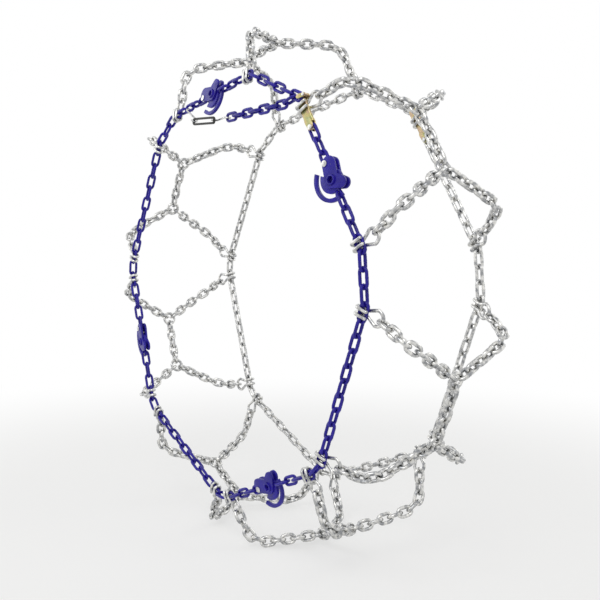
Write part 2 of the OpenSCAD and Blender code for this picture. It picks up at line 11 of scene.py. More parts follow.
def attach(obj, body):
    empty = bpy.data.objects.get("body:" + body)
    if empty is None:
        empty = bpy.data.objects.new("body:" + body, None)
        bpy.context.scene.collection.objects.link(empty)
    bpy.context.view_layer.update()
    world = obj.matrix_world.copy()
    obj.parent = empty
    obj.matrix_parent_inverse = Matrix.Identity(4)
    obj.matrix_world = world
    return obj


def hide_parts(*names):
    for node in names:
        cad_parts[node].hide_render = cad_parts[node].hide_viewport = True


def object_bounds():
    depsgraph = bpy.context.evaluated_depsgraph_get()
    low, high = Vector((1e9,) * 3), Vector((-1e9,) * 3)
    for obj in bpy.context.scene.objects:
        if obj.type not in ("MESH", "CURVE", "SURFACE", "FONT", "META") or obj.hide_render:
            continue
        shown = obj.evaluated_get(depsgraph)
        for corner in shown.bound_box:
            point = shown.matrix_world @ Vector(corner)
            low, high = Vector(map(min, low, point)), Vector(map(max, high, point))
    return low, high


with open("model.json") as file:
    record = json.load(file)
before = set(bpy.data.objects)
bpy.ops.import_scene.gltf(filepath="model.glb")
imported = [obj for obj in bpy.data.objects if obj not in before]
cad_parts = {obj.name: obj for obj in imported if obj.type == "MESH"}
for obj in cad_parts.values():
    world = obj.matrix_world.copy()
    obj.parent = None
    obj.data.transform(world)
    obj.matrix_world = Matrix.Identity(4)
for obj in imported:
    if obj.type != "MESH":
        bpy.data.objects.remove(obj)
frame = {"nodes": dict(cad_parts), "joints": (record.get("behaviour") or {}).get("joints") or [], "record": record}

bl_info = {
    "name": "Snow Chain Net",
    "version": (1, 0, 0),
    "blender": (4, 5, 0),
    "location": "View3D > Sidebar > Snow Chain",
    "description": "Models the visible links, hooks, cams and tie of a truck snow chain",
    "category": "Object",
}

CAD_BOX = [list(corner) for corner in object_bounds()]
NODES = frame["nodes"]
BODY_OF = {node: body for body, nodes in frame["record"]["behaviour"]["bodies"].items() for node in nodes}
# The CAD material of a node has the name of its slot in the record
SLOT_OF = {node: piece.data.materials[0].name for node, piece in NODES.items()}
MM = 0.001
# Any direction that no link lies square to decides which of its two equal sides is welded
SIDE_RULE = np.array([0.36, 0.48, 0.8])
# An eight-sided section as wide as this looks as thick as the round wire
SECTION_SWELL = 1.04
# Points round a cam plate's discs, and how far from the pivot its anchor rivet is looked for
PLATE_POINTS = 64
RIVET_SEARCH = 80 * MM
# Middles of a cam plate's two lobes in the cam's own frame, and how far the bore's cutter stands past the plate
ANCHOR_LOBE_AT = (30 * MM, 7 * MM)
FREE_LOBE_AT = (-15 * MM, 17 * MM)
CUTTER_OVER = 1 * MM
# Edges sharper than the first angle are rolled over; faces that meet under the second are shaded smooth
ROLLED_FROM = math.radians(35)
SMOOTH_UNDER = math.radians(28)
# Points nearer than this are one point: in a CAD node's triangles, in a copy of it, and where a wire closes
SAME_POINT = 0.001 * MM
SAME_CORNER = 0.002 * MM
SAME_SECTION = 0.05 * MM
# A CAD face's triangles lie within this angle of each other
FLAT_WITHIN = math.radians(0.5)
# A loose part whose length and width differ by less than this is a ring
RING_SQUARENESS = 1.0
# Light of the world on matt surfaces, next to 1 where it is looked at
WORLD_FILL = 0.55
# Second colours of the finishes, the pale paper
# The zinc's dull colour is partly the plating's own duller tone and partly painted dark reflection, standing in for
# dark surroundings
ZINC_DULL_AND_DARK_REFLECTION = "939598"
ENAMEL_THIN = "211883"
BARE_STEEL = "77787C"
CHROMATE_PINK = "B8A086"
CHROMATE_GREEN = "A2A67A"
RUBBER_BLOOM = "2F302E"
PAPER = "F6F6F4"
# Share of the paper that is plain white where it is looked at; the rest takes the net's shadow
PAPER_LIFT = 0.5
# The paper's side, and how far from the middle it starts and ends fading into the background
PAPER_SIZE = 40
PAPER_FADE = (0.7, 2.2)
# Each lamp's place, side and the setting that holds its power
LAMPS = {
    "key_lamp": ((1.6, -2.4, 2.6), 2.0, "key_power"),
    "fill_lamp": ((-2.6, -1.8, 1.2), 2.4, "fill_power"),
    "back_lamp": ((0.6, 2.8, 1.8), 2.0, "fill_power"),
}
# The camera's lens and sensor in mm, and its shift in shares of the frame
LENS = 50
SENSOR = 36
SHIFT = (0.0318, -0.0211)
# Made once and shared: the masters of the links by size, and the materials by slot
MASTERS = {}
MADE = {}

# The unit numbers that carry a cam
CAM_UNITS = (1, 3, 5, 7)
SIDE_NODES = [f"outer_side_chain_{n}" for n in range(1, 6)] + [f"inner_side_chain_{n}" for n in range(1, 5)]
CROSS_NODES = [f"cross_chain_{n}" for n in range(1, 8)]
BRIDGE_NODES = [f"bridge_chain_{n}" for n in range(1, 8)]


# ---------------------------------------------------------------- settings

class ChainSizes(bpy.types.PropertyGroup):
    wire_sides: bpy.props.IntProperty(
        name="Wire sides", description="Faces round the wire of a link", default=8, min=6)
    bend_steps: bpy.props.IntProperty(
        name="Bend steps", description="Steps round each bent end of a link", default=6, min=4)
    weld_half: bpy.props.FloatProperty(
        name="Weld half length", description="Half the length of the butt weld's bead",
        default=2.2 * MM, unit="LENGTH")
    weld_swell: bpy.props.FloatProperty(
        name="Weld swell", description="How much thicker than the wire the bead is", default=1.09)


class PlateSizes(bpy.types.PropertyGroup):
    stamped_edge: bpy.props.FloatProperty(
        name="Stamped edge", description="Rolled edge of the stamped cam plates", default=0.55 * MM, unit="LENGTH")
    pivot_lobe: bpy.props.FloatProperty(
        name="Pivot lobe", description="Radius of a cam plate round its boss", default=15 * MM, unit="LENGTH")
    anchor_lobe: bpy.props.FloatProperty(
        name="Anchor lobe", description="Radius of a cam plate at the anchored chain end",
        default=14.5 * MM, unit="LENGTH")
    free_lobe: bpy.props.FloatProperty(
        name="Free lobe", description="Radius of a cam plate's lobe over the moving chain end",
        default=11 * MM, unit="LENGTH")
    forged_edge: bpy.props.FloatProperty(
        name="Forged edge", description="Rounding of the forged joint hook", default=0.7 * MM, unit="LENGTH")
    rivet_edge: bpy.props.FloatProperty(
        name="Rivet edge", description="Rounding of rivet heads and pins", default=0.45 * MM, unit="LENGTH")
    tie_edge: bpy.props.FloatProperty(
        name="Tie edge", description="Rounding of the moulded rubber tie", default=0.8 * MM, unit="LENGTH")


class FinishColours(bpy.types.PropertyGroup):
    zinc: bpy.props.StringProperty(
        name="Zinc", description="sRGB colour of the bright zinc plating", default="E4E3DF")
    enamel: bpy.props.StringProperty(
        name="Enamel", description="sRGB colour of the blue enamel", default="2B1FA3")
    chromate: bpy.props.StringProperty(
        name="Chromate", description="sRGB colour of the yellow chromate", default="BDB278")
    rubber: bpy.props.StringProperty(
        name="Rubber", description="sRGB colour of the rubber tie", default="1C1D1B")


class StudioSizes(bpy.types.PropertyGroup):
    camera_turn: bpy.props.FloatProperty(
        name="Camera turn", description="Angle round the net from its outer side",
        default=math.radians(54.4), subtype="ANGLE")
    camera_rise: bpy.props.FloatProperty(
        name="Camera rise", description="Angle above the axle", default=math.radians(2.94), subtype="ANGLE")
    camera_distance: bpy.props.FloatProperty(
        name="Camera distance", description="From the middle of the wheel", default=1.84935, unit="LENGTH")
    key_power: bpy.props.FloatProperty(
        name="Key power", description="Power of the large soft lamp", default=34.0, unit="POWER")
    fill_power: bpy.props.FloatProperty(
        name="Fill power", description="Power of the lamp on the other side", default=14.0, unit="POWER")


# ---------------------------------------------------------------- materials

def linear(code):
    """An sRGB hex colour as linear RGBA."""
    parts = [int(code[n:n + 2], 16) / 255 for n in (0, 2, 4)]
    return [c / 12.92 if c <= 0.04045 else ((c + 0.055) / 1.055) ** 2.4 for c in parts] + [1.0]


def add_node(tree, kind, inputs=None, **settings):
    """A shader node with its settings; an input is given a value or the socket that feeds it."""
    node = tree.nodes.new(kind)
    for key, value in settings.items():
        setattr(node, key, value)
    for key, value in (inputs or {}).items():
        if isinstance(value, bpy.types.NodeSocket):
            tree.links.new(value, node.inputs[key])
        else:
            node.inputs[key].default_value = value
    return node


def empty_tree(owner):
    """The cleared node tree of a material or a world."""
    owner.use_nodes = True
    owner.node_tree.nodes.clear()
    return owner.node_tree


def new_material(name):
    """An empty material's tree, its Object coordinates and its shader, already joined to the output."""
    material = bpy.data.materials.new(name)
    tree = empty_tree(material)
    place = add_node(tree, "ShaderNodeTexCoord").outputs["Object"]
    shader = add_node(tree, "ShaderNodeBsdfPrincipled")
    add_node(tree, "ShaderNodeOutputMaterial", {"Surface": shader.outputs["BSDF"]})
    return material, tree, place, shader


def per_metre(size_mm):
    """A noise scale whose features are about this size."""
    return 1000 / size_mm


def zinc_plated_steel(colour):
    """Low-carbon wire, bent, welded, then barrel plated: bright and cloudy, with dull grey patches that are partly
    plating where the bath ran thin and partly painted dark reflection, and fine tumbling marks that break up the
    highlights."""
    material, tree, place, shader = new_material("zinc_plated_steel")
    # Clouds of the plating and of painted dark reflection, about a wire's thickness across
    cloud_and_reflection = add_node(tree, "ShaderNodeTexNoise", {"Vector": place, "Scale": per_metre(8), "Detail": 3.0})
    # Tumbling marks are near 0.3 mm; they are drawn at 1.6 mm so that they show
    marks = add_node(tree, "ShaderNodeTexNoise", {"Vector": place, "Scale": per_metre(1.6), "Detail": 2.0})
    dull_and_reflection_share = add_node(tree, "ShaderNodeMapRange", {
        "Value": cloud_and_reflection.outputs["Fac"], "From Min": 0.35, "From Max": 0.65})
    # Bright zinc mixed with its dull colour, which is partly painted dark reflection
    zinc_and_reflection = add_node(tree, "ShaderNodeMix", {
        0: dull_and_reflection_share.outputs["Result"], 6: linear(ZINC_DULL_AND_DARK_REFLECTION), 7: linear(colour)}, data_type="RGBA")
    rough = add_node(tree, "ShaderNodeMapRange", {
        "Value": marks.outputs["Fac"], "From Min": 0.3, "From Max": 0.7, "To Min": 0.1, "To Max": 0.3})
    bump = add_node(tree, "ShaderNodeBump", {
        "Height": marks.outputs["Fac"], "Strength": 0.12, "Distance": 0.4 * MM})
    tree.links.new(zinc_and_reflection.outputs[2], shader.inputs["Base Color"])
    tree.links.new(rough.outputs["Result"], shader.inputs["Roughness"])
    tree.links.new(bump.outputs["Normal"], shader.inputs["Normal"])
    shader.inputs["Metallic"].default_value = 1.0
    return material


def dipped_enamel(colour):
    """Air-drying alkyd enamel, dipped over the welded chain: a plain deep blue with a soft gloss, thin and
    slightly darker in places, and rubbed through to grey steel in a few small spots."""
    material, tree, place, shader = new_material("dipped_enamel")
    # Runs and thin places of the coat, about a link long
    coat = add_node(tree, "ShaderNodeTexNoise", {"Vector": place, "Scale": per_metre(22), "Detail": 2.0})
    # Orange peel of a dipped coat, about 1.5 mm
    peel = add_node(tree, "ShaderNodeTexNoise", {"Vector": place, "Scale": per_metre(1.5), "Detail": 1.0})
    # Rubbed spots, 3 mm across
    rubbed = add_node(tree, "ShaderNodeTexNoise", {"Vector": place, "Scale": per_metre(3), "Detail": 4.0})
    thin = add_node(tree, "ShaderNodeMapRange", {
        "Value": coat.outputs["Fac"], "From Min": 0.3, "From Max": 0.7})
    bare = add_node(tree, "ShaderNodeMapRange", {
        "Value": rubbed.outputs["Fac"], "From Min": 0.715, "From Max": 0.73})
    paint = add_node(tree, "ShaderNodeMix", {
        0: thin.outputs["Result"], 6: linear(ENAMEL_THIN), 7: linear(colour)}, data_type="RGBA")
    shown = add_node(tree, "ShaderNodeMix", {
        0: bare.outputs["Result"], 6: paint.outputs[2], 7: linear(BARE_STEEL)}, data_type="RGBA")
    rough = add_node(tree, "ShaderNodeMapRange", {
        "Value": coat.outputs["Fac"], "From Min": 0.3, "From Max": 0.7, "To Min": 0.24, "To Max": 0.42})
    bump = add_node(tree, "ShaderNodeBump", {
        "Height": peel.outputs["Fac"], "Strength": 0.1, "Distance": 0.3 * MM})
    tree.links.new(shown.outputs[2], shader.inputs["Base Color"])
    tree.links.new(bare.outputs["Result"], shader.inputs["Metallic"])
    tree.links.new(rough.outputs["Result"], shader.inputs["Roughness"])
    tree.links.new(bump.outputs["Normal"], shader.inputs["Normal"])
    shader.inputs["IOR"].default_value = 1.5
    shader.inputs["Specular IOR Level"].default_value = 0.3
    return material


def yellow_chromate(colour):
    """Forged steel, zinc plated and passivated in yellow chromate: pale brass with a drifting straw, pink and
    green cast where the film changes thickness."""
    material, tree, place, shader = new_material("yellow_chromate")
    # The film drifts over about 12 mm
    film = add_node(tree, "ShaderNodeTexNoise", {"Vector": place, "Scale": per_metre(12), "Detail": 2.0})
    # The forging's skin, about 1.2 mm
    skin = add_node(tree, "ShaderNodeTexNoise", {"Vector": place, "Scale": per_metre(1.2), "Detail": 2.0})
    straw = add_node(tree, "ShaderNodeMapRange", {
        "Value": film.outputs["Fac"], "From Min": 0.35, "From Max": 0.55})
    green = add_node(tree, "ShaderNodeMapRange", {
        "Value": film.outputs["Fac"], "From Min": 0.52, "From Max": 0.68})
    warm = add_node(tree, "ShaderNodeMix", {
        0: straw.outputs["Result"], 6: linear(CHROMATE_PINK), 7: linear(colour)}, data_type="RGBA")
    shown = add_node(tree, "ShaderNodeMix", {
        0: green.outputs["Result"], 6: warm.outputs[2], 7: linear(CHROMATE_GREEN)}, data_type="RGBA")
    rough = add_node(tree, "ShaderNodeMapRange", {
        "Value": skin.outputs["Fac"], "From Min": 0.3, "From Max": 0.7, "To Min": 0.24, "To Max": 0.42})
    bump = add_node(tree, "ShaderNodeBump", {
        "Height": skin.outputs["Fac"], "Strength": 0.2, "Distance": 0.4 * MM})
    tree.links.new(shown.outputs[2], shader.inputs["Base Color"])
    tree.links.new(rough.outputs["Result"], shader.inputs["Roughness"])
    tree.links.new(bump.outputs["Normal"], shader.inputs["Normal"])
    shader.inputs["Metallic"].default_value = 1.0
    return material


def moulded_rubber(colour):
    """EPDM rubber, compression moulded: nearly black, with a satin skin and a little grey bloom."""
    material, tree, place, shader = new_material("moulded_rubber")
    # Bloom comes to the surface in patches about 8 mm across
    bloom = add_node(tree, "ShaderNodeTexNoise", {"Vector": place, "Scale": per_metre(8), "Detail": 3.0})
    # The mould's grain, about 0.8 mm
    grain = add_node(tree, "ShaderNodeTexNoise", {"Vector": place, "Scale": per_metre(0.8), "Detail": 1.0})
    patch = add_node(tree, "ShaderNodeMapRange", {
        "Value": bloom.outputs["Fac"], "From Min": 0.4, "From Max": 0.75})
    shown = add_node(tree, "ShaderNodeMix", {
        0: patch.outputs["Result"], 6: linear(colour), 7: linear(RUBBER_BLOOM)}, data_type="RGBA")
    rough = add_node(tree, "ShaderNodeMapRange", {
        "Value": bloom.outputs["Fac"], "From Min": 0.3, "From Max": 0.7, "To Min": 0.48, "To Max": 0.66})
    bump = add_node(tree, "ShaderNodeBump", {
        "Height": grain.outputs["Fac"], "Strength": 0.25, "Distance": 0.3 * MM})
    tree.links.new(shown.outputs[2], shader.inputs["Base Color"])
    tree.links.new(rough.outputs["Result"], shader.inputs["Roughness"])
    tree.links.new(bump.outputs["Normal"], shader.inputs["Normal"])
    return material


FINISHES = {
    "zinc_steel": (zinc_plated_steel, "zinc"),
    "blue_paint": (dipped_enamel, "enamel"),
    "yellow_zinc": (yellow_chromate, "chromate"),
    "black_rubber": (moulded_rubber, "rubber"),
}


def finish_of(slot):
    """The material of a slot of the record, made at its first use."""
    if slot not in MADE:
        maker, colour = FINISHES[slot]
        MADE[slot] = maker(getattr(bpy.context.scene.snow_finishes, colour))
    return MADE[slot]


# ---------------------------------------------------------------- meshes

def select_none():
    if bpy.context.object and bpy.context.object.mode != "OBJECT":
        bpy.ops.object.mode_set(mode="OBJECT")
    bpy.ops.object.select_all(action="DESELECT")


def make_active(piece):
    select_none()
    piece.select_set(True)
    bpy.context.view_layer.objects.active = piece


def declare(piece, node):
    """Gives a finished piece the material of the slot and the body of the CAD node that it stands for."""
    piece.data.materials.clear()
    piece.data.materials.append(finish_of(SLOT_OF[node]))
    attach(piece, BODY_OF[node])
    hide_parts(node)


def places_of(node):
    """The vertices of a CAD node, in the shared frame."""
    vertices = NODES[node].data.vertices
    flat = np.empty(len(vertices) * 3)
    vertices.foreach_get("co", flat)
    return flat.reshape(-1, 3)


def loose_parts(node):
    """Each loose part of a node: its middle, its principal axes, thinnest first, and its extents along them."""
    mesh = NODES[node].data
    points = places_of(node)
    _, first, inverse = np.unique(
        np.round(points / SAME_POINT).astype(np.int64), axis=0, return_index=True, return_inverse=True)
    points = points[first]
    mesh.calc_loop_triangles()
    corners = np.empty(len(mesh.loop_triangles) * 3, dtype=np.int32)
    mesh.loop_triangles.foreach_get("vertices", corners)
    corners = inverse.ravel()[corners].reshape(-1, 3)
    # Every point takes the lowest number of the points it is joined to, until nothing changes
    label = np.arange(len(points))
    while True:
        lowest = label[corners].min(axis=1)
        passed_on = label.copy()
        for column in range(3):
            np.minimum.at(passed_on, corners[:, column], lowest)
        passed_on = passed_on[passed_on]
        if (passed_on == label).all():
            break
        label = passed_on
    owner = label[corners[:, 0]]
    found = []
    for part in np.unique(owner):
        faces = corners[owner == part]
        a, b, c = points[faces[:, 0]], points[faces[:, 1]], points[faces[:, 2]]
        area = np.linalg.norm(np.cross(b - a, c - a), axis=1)
        centre = ((a + b + c) / 3 * area[:, None]).sum(0) / area.sum()
        away = (a + b + c) / 3 - centre
        _, axes = np.linalg.eigh((away * area[:, None]).T @ away / area.sum())
        reach = (points[np.unique(faces)] - centre) @ axes
        middle = centre + axes @ ((reach.max(0) + reach.min(0)) / 2)
        found.append((middle, axes, reach.max(0) - reach.min(0)))
    return found


def link_frame(middle, axes):
    """Where a master link goes: X along the link, Z through its thickness, the weld on a fixed side."""
    along, across = axes[:, 2], axes[:, 1]
    along = along if along @ SIDE_RULE > 0 else -along
    across = across if across @ SIDE_RULE > 0 else -across
    turn = np.column_stack([along, across, np.cross(along, across)])
    return turn, middle


def ring_frame(middle, axes):
    """Where a master ring goes: Z through its thickness, and the weld turned towards a fixed direction."""
    axis = axes[:, 0] if axes[:, 0] @ SIDE_RULE > 0 else -axes[:, 0]
    across = SIDE_RULE - (SIDE_RULE @ axis) * axis
    across = across / np.linalg.norm(across)
    return np.column_stack([np.cross(across, axis), across, axis]), middle


def copies(name, master, places):
    """One mesh with a copy of the master at every place."""
    points = np.array([vertex.co for vertex in master.vertices])
    faces = [tuple(polygon.vertices) for polygon in master.polygons]
    every_point, every_face = [], []
    for turn, middle in places:
        base = len(every_point)
        every_point.extend((points @ turn.T + middle).tolist())
        every_face.extend([tuple(base + corner for corner in face) for face in faces])
    mesh = bpy.data.meshes.new(name)
    mesh.from_pydata(every_point, [], every_face)
    mesh.shade_smooth()
    piece = bpy.data.objects.new(name, mesh)
    bpy.context.scene.collection.objects.link(piece)
    return piece


def wire_section(name, wire, at):
    """Starts a piece of wire: its section, square to X, selected in edit mode."""
    sides = bpy.context.scene.snow_chain.wire_sides
    select_none()
    # A section of few sides is drawn a little large, so that it looks as thick as the round wire
    bpy.ops.mesh.primitive_circle_add(
        vertices=sides, radius=wire / 2 * SECTION_SWELL, location=at, rotation=(0, math.pi / 2, 0))
    piece = bpy.context.object
    piece.name = name
    make_active(piece)
    bpy.ops.object.transform_apply(location=True, rotation=True, scale=True)
    bpy.ops.object.mode_set(mode="EDIT")
    bpy.ops.mesh.select_all(action="SELECT")
    return piece


def run_on(reach, swell=1.0, centre=(0, 0, 0)):
    """Extrudes the selected section along X, then thickens it about its centre."""
    bpy.ops.mesh.extrude_region_move(TRANSFORM_OT_translate={"value": (reach, 0, 0)})
    if swell != 1.0:
        bpy.ops.transform.resize(value=(1, swell, swell), center_override=centre)


def welded_start(name, wire, bend):
    """Starts a closed piece of wire with the bead of its butt weld, on its Y side."""
    sizes = bpy.context.scene.snow_chain
    weld = sizes.weld_half
    piece = wire_section(name, wire, (-weld, bend, 0))
    run_on(weld, sizes.weld_swell, (0, bend, 0))
    run_on(weld, 1 / sizes.weld_swell, (weld, bend, 0))
    return piece


def close_wire(piece):
    """Joins the end of the wire to its start, turns the faces outwards and returns the mesh."""
    bpy.ops.mesh.select_all(action="SELECT")
    bpy.ops.mesh.remove_doubles(threshold=SAME_SECTION)
    bpy.ops.mesh.normals_make_consistent(inside=False)
    bpy.ops.object.mode_set(mode="OBJECT")
    mesh = piece.data
    bpy.data.objects.remove(piece)
    return mesh


def link_master(wire, width, length):
    """An oblong link about the origin: bent wire, butt welded in the middle of one straight side."""
    sizes = bpy.context.scene.snow_chain
    bend = (width - wire) / 2
    straight = (length - width) / 2
    weld = sizes.weld_half
    piece = welded_start("link_master", wire, bend)
    run_on(straight - weld)
    bpy.ops.mesh.spin(steps=sizes.bend_steps, angle=math.pi, center=(straight, 0, 0), axis=(0, 0, 1))
    run_on(-2 * straight)
    bpy.ops.mesh.spin(steps=sizes.bend_steps, angle=math.pi, center=(-straight, 0, 0), axis=(0, 0, 1))
    run_on(straight - weld)
    return close_wire(piece)


def ring_master(wire, width):
    """A round ring about the origin, butt welded on its Y side."""
    sizes = bpy.context.scene.snow_chain
    bend = (width - wire) / 2
    weld = sizes.weld_half
    piece = welded_start("ring_master", wire, bend)
    turn = 2 * math.pi - 2 * math.atan2(weld, bend)
    bpy.ops.mesh.spin(steps=2 * sizes.bend_steps + 4, angle=turn, center=(0, 0, 0), axis=(0, 0, 1))
    return close_wire(piece)


def chain_piece(name, node):
    """Replaces a CAD node of loose links and rings with the modelled ones."""
    links, rings = {}, {}
    for middle, axes, extent in loose_parts(node):
        size = tuple(round(float(value) / MM, 1) for value in extent)
        if size[2] - size[1] < RING_SQUARENESS:
            rings.setdefault((size[0], size[2]), []).append(ring_frame(middle, axes))
        else:
            links.setdefault(size, []).append(link_frame(middle, axes))
    made = []
    for found, maker in ((links, link_master), (rings, ring_master)):
        for size, places in sorted(found.items()):
            if size not in MASTERS:
                MASTERS[size] = maker(*(value * MM for value in size))
            made.append(copies(name, MASTERS[size], places))
    make_active(made[0])
    for piece in made:
        piece.select_set(True)
    if len(made) > 1:
        bpy.ops.object.join()
    made[0].name = name
    declare(made[0], node)


def roll_edges(piece, edge):
    """Rolls the sharp edges of the active piece over by this much and smooths its round faces."""
    if edge:
        bevel = piece.modifiers.new("rolled edge", "BEVEL")
        bevel.width = edge
        bevel.segments = 2
        bevel.limit_method = "ANGLE"
        bevel.angle_limit = ROLLED_FROM
        bevel.use_clamp_overlap = True
        bpy.ops.object.modifier_apply(modifier=bevel.name)
    bpy.ops.object.shade_smooth_by_angle(angle=SMOOTH_UNDER)


def rounded_copy(name, node, edge):
    """A copy of a CAD node with its sharp edges rolled over, as on a stamped or forged part."""
    piece = bpy.data.objects.new(name, NODES[node].data.copy())
    bpy.context.scene.collection.objects.link(piece)
    make_active(piece)
    bpy.ops.mesh.customdata_custom_splitnormals_clear()
    bpy.ops.object.mode_set(mode="EDIT")
    bpy.ops.mesh.select_all(action="SELECT")
    bpy.ops.mesh.remove_doubles(threshold=SAME_CORNER)
    bpy.ops.mesh.dissolve_limited(angle_limit=FLAT_WITHIN)
    bpy.ops.object.mode_set(mode="OBJECT")
    roll_edges(piece, edge)
    declare(piece, node)


def cam_frame(unit):
    """A cam's own frame: X from its pivot to the anchor rivet, Z out along the pivot, Y away from its arm."""
    hinge = next(joint for joint in frame["joints"] if joint["name"] == f"cam_{unit}_turn")
    pivot, axis = np.array(hinge["pos_m"]), np.array(hinge["axis"])
    axis = axis / np.linalg.norm(axis)
    rivets = places_of("cam_anchor_rivets")
    rivet = rivets[np.linalg.norm(rivets - pivot, axis=1) < RIVET_SEARCH]
    along = (rivet.max(0) + rivet.min(0)) / 2 - pivot
    along = along - (along @ axis) * axis
    along = along / np.linalg.norm(along)
    away = np.cross(axis, along)
    if ((places_of(f"cam_disc_{unit}") - pivot) @ away).mean() > 0:
        away = -away
    return np.column_stack([along, away, axis]), pivot


def flat_solid(name, discs, low, high):
    """A flat solid with straight sides tangent to its discs, each given by its middle and radius."""
    select_none()
    for count, (x, y, radius) in enumerate(discs):
        bpy.ops.mesh.primitive_cylinder_add(
            vertices=PLATE_POINTS, radius=radius, depth=high - low, location=(x, y, (low + high) / 2))
        # The later discs are added in edit mode, to the first one's mesh
        if count == 0:
            solid = bpy.context.object
            solid.name = name
            bpy.ops.object.transform_apply(location=True)
            bpy.ops.object.mode_set(mode="EDIT")
    bpy.ops.mesh.select_all(action="SELECT")
    bpy.ops.mesh.convex_hull()
    bpy.ops.object.mode_set(mode="OBJECT")
    return solid


def combine(piece, other, operation):
    """Unites a piece with another, or cuts the other out of it, and removes the other."""
    boolean = piece.modifiers.new("combine", "BOOLEAN")
    boolean.operation = operation
    boolean.solver = "EXACT"
    boolean.object = other
    make_active(piece)
    bpy.ops.object.modifier_apply(modifier=boolean.name)
    bpy.data.objects.remove(other, do_unlink=True)


def cam_plate(name, node, unit):
    """A stamped heart-shaped plate in place of a CAD plate: its tip round the boss, one lobe over the anchor."""
    sizes = bpy.context.scene.snow_plates
    turn, pivot = cam_frame(unit)
    within = (places_of(node) - pivot) @ turn
    low, high = within[:, 2].min(), within[:, 2].max()
    hole = np.hypot(within[:, 0], within[:, 1]).min()
    tip = (0, 0, sizes.pivot_lobe)
    piece = flat_solid(name, [tip, (*ANCHOR_LOBE_AT, sizes.anchor_lobe)], low, high)
    other = flat_solid("free lobe", [tip, (*FREE_LOBE_AT, sizes.free_lobe)], low, high)
    combine(piece, other, "UNION")
    bore = flat_solid("bore", [(0, 0, hole)], low - CUTTER_OVER, high + CUTTER_OVER)
    combine(piece, bore, "DIFFERENCE")
    place = Matrix(turn.tolist()).to_4x4()
    place.translation = Vector(pivot)
    piece.data.transform(place)
    make_active(piece)
    bpy.ops.object.mode_set(mode="EDIT")
    bpy.ops.mesh.select_all(action="SELECT")
    bpy.ops.mesh.normals_make_consistent(inside=False)
    bpy.ops.object.mode_set(mode="OBJECT")
    roll_edges(piece, sizes.stamped_edge)
    declare(piece, node)


# ---------------------------------------------------------------- operators

class SNOW_OT_side_chains(bpy.types.Operator):
    """Models the links of the two side chains"""
    bl_idname = "snow.side_chains"
    bl_label = "Side chains"

    def execute(self, context):
        for node in SIDE_NODES:
            chain_piece(f"{node}_links", node)
        return {"FINISHED"}


class SNOW_OT_cross_chains(bpy.types.Operator):
    """Models the plated links that cross the tread"""
    bl_idname = "snow.cross_chains"
    bl_label = "Cross chains"

    def execute(self, context):
        for node in CROSS_NODES:
            chain_piece(f"{node}_links", node)
        return {"FINISHED"}


class SNOW_OT_bridge_chains(bpy.types.Operator):
    """Models the short chains and rings along the middle of the tread"""
    bl_idname = "snow.bridge_chains"
    bl_label = "Bridge chains"

    def execute(self, context):
        for node in BRIDGE_NODES:
            chain_piece(f"{node}_links", node)
        return {"FINISHED"}


class SNOW_OT_tail_chain(bpy.types.Operator):
    """Models the loose end of the outer side chain"""
    bl_idname = "snow.tail_chain"
    bl_label = "Tail chain"

    def execute(self, context):
        chain_piece("tail_chain_links", "tail_chain")
        return {"FINISHED"}


class SNOW_OT_take_up_links(bpy.types.Operator):
    """Models the link that each cam pulls"""
    bl_idname = "snow.take_up_links"
    bl_label = "Take-up links"

    def execute(self, context):
        for unit in CAM_UNITS:
            chain_piece(f"take_up_link_{unit}_bent", f"take_up_link_{unit}")
        return {"FINISHED"}


class SNOW_OT_cross_hooks(bpy.types.Operator):
    """Finishes the hooks that hold the cross chains on the side chains"""
    bl_idname = "snow.cross_hooks"
    bl_label = "Cross hooks"

    def execute(self, context):
        for side in ("outer", "inner"):
            rounded_copy(f"{side}_cross_hooks_bent", f"{side}_cross_hooks", 0)
        return {"FINISHED"}


class SNOW_OT_cams(bpy.types.Operator):
    """Stamps the cams' plates and rounds their discs and rivets"""
    bl_idname = "snow.cams"
    bl_label = "Cams"

    def execute(self, context):
        sizes = context.scene.snow_plates
        for unit in CAM_UNITS:
            cam_plate(f"cam_front_plate_{unit}_stamped", f"cam_front_plate_{unit}", unit)
            cam_plate(f"cam_back_plate_{unit}_stamped", f"cam_back_plate_{unit}", unit)
            rounded_copy(f"cam_disc_{unit}_cast", f"cam_disc_{unit}", sizes.stamped_edge)
        rounded_copy("cam_anchor_rivets_headed", "cam_anchor_rivets", sizes.rivet_edge)
        return {"FINISHED"}


class SNOW_OT_joint_hooks(bpy.types.Operator):
    """Rounds the forged hooks that close the side chains, with their keepers and pins"""
    bl_idname = "snow.joint_hooks"
    bl_label = "Joint hooks"

    def execute(self, context):
        sizes = context.scene.snow_plates
        for side in ("", "inner_"):
            rounded_copy(f"{side}joint_hook_forged", f"{side}joint_hook", sizes.forged_edge)
            rounded_copy(f"{side}joint_hook_keeper_stamped", f"{side}joint_hook_keeper", sizes.stamped_edge)
            rounded_copy(f"{side}joint_hook_pins_headed", f"{side}joint_hook_pins", sizes.rivet_edge)
        return {"FINISHED"}


class SNOW_OT_tail_tie(bpy.types.Operator):
    """Finishes the S-hooks and the rubber tie that hold the loose end"""
    bl_idname = "snow.tail_tie"
    bl_label = "Tail tie"

    def execute(self, context):
        rounded_copy("tail_s_hooks_bent", "tail_s_hooks", 0)
        rounded_copy("tail_rubber_tie_moulded", "tail_rubber_tie", context.scene.snow_plates.tie_edge)
        return {"FINISHED"}


def soft_lamp(name, place, size, power):
    """A large square lamp that looks at the middle of the net."""
    data = bpy.data.lights.new(name, "AREA")
    data.shape = "SQUARE"
    data.size = size
    data.energy = power
    lamp = bpy.data.objects.new(name, data)
    lamp.location = place
    lamp.rotation_euler = (-Vector(place)).to_track_quat("-Z", "Y").to_euler()
    bpy.context.scene.collection.objects.link(lamp)


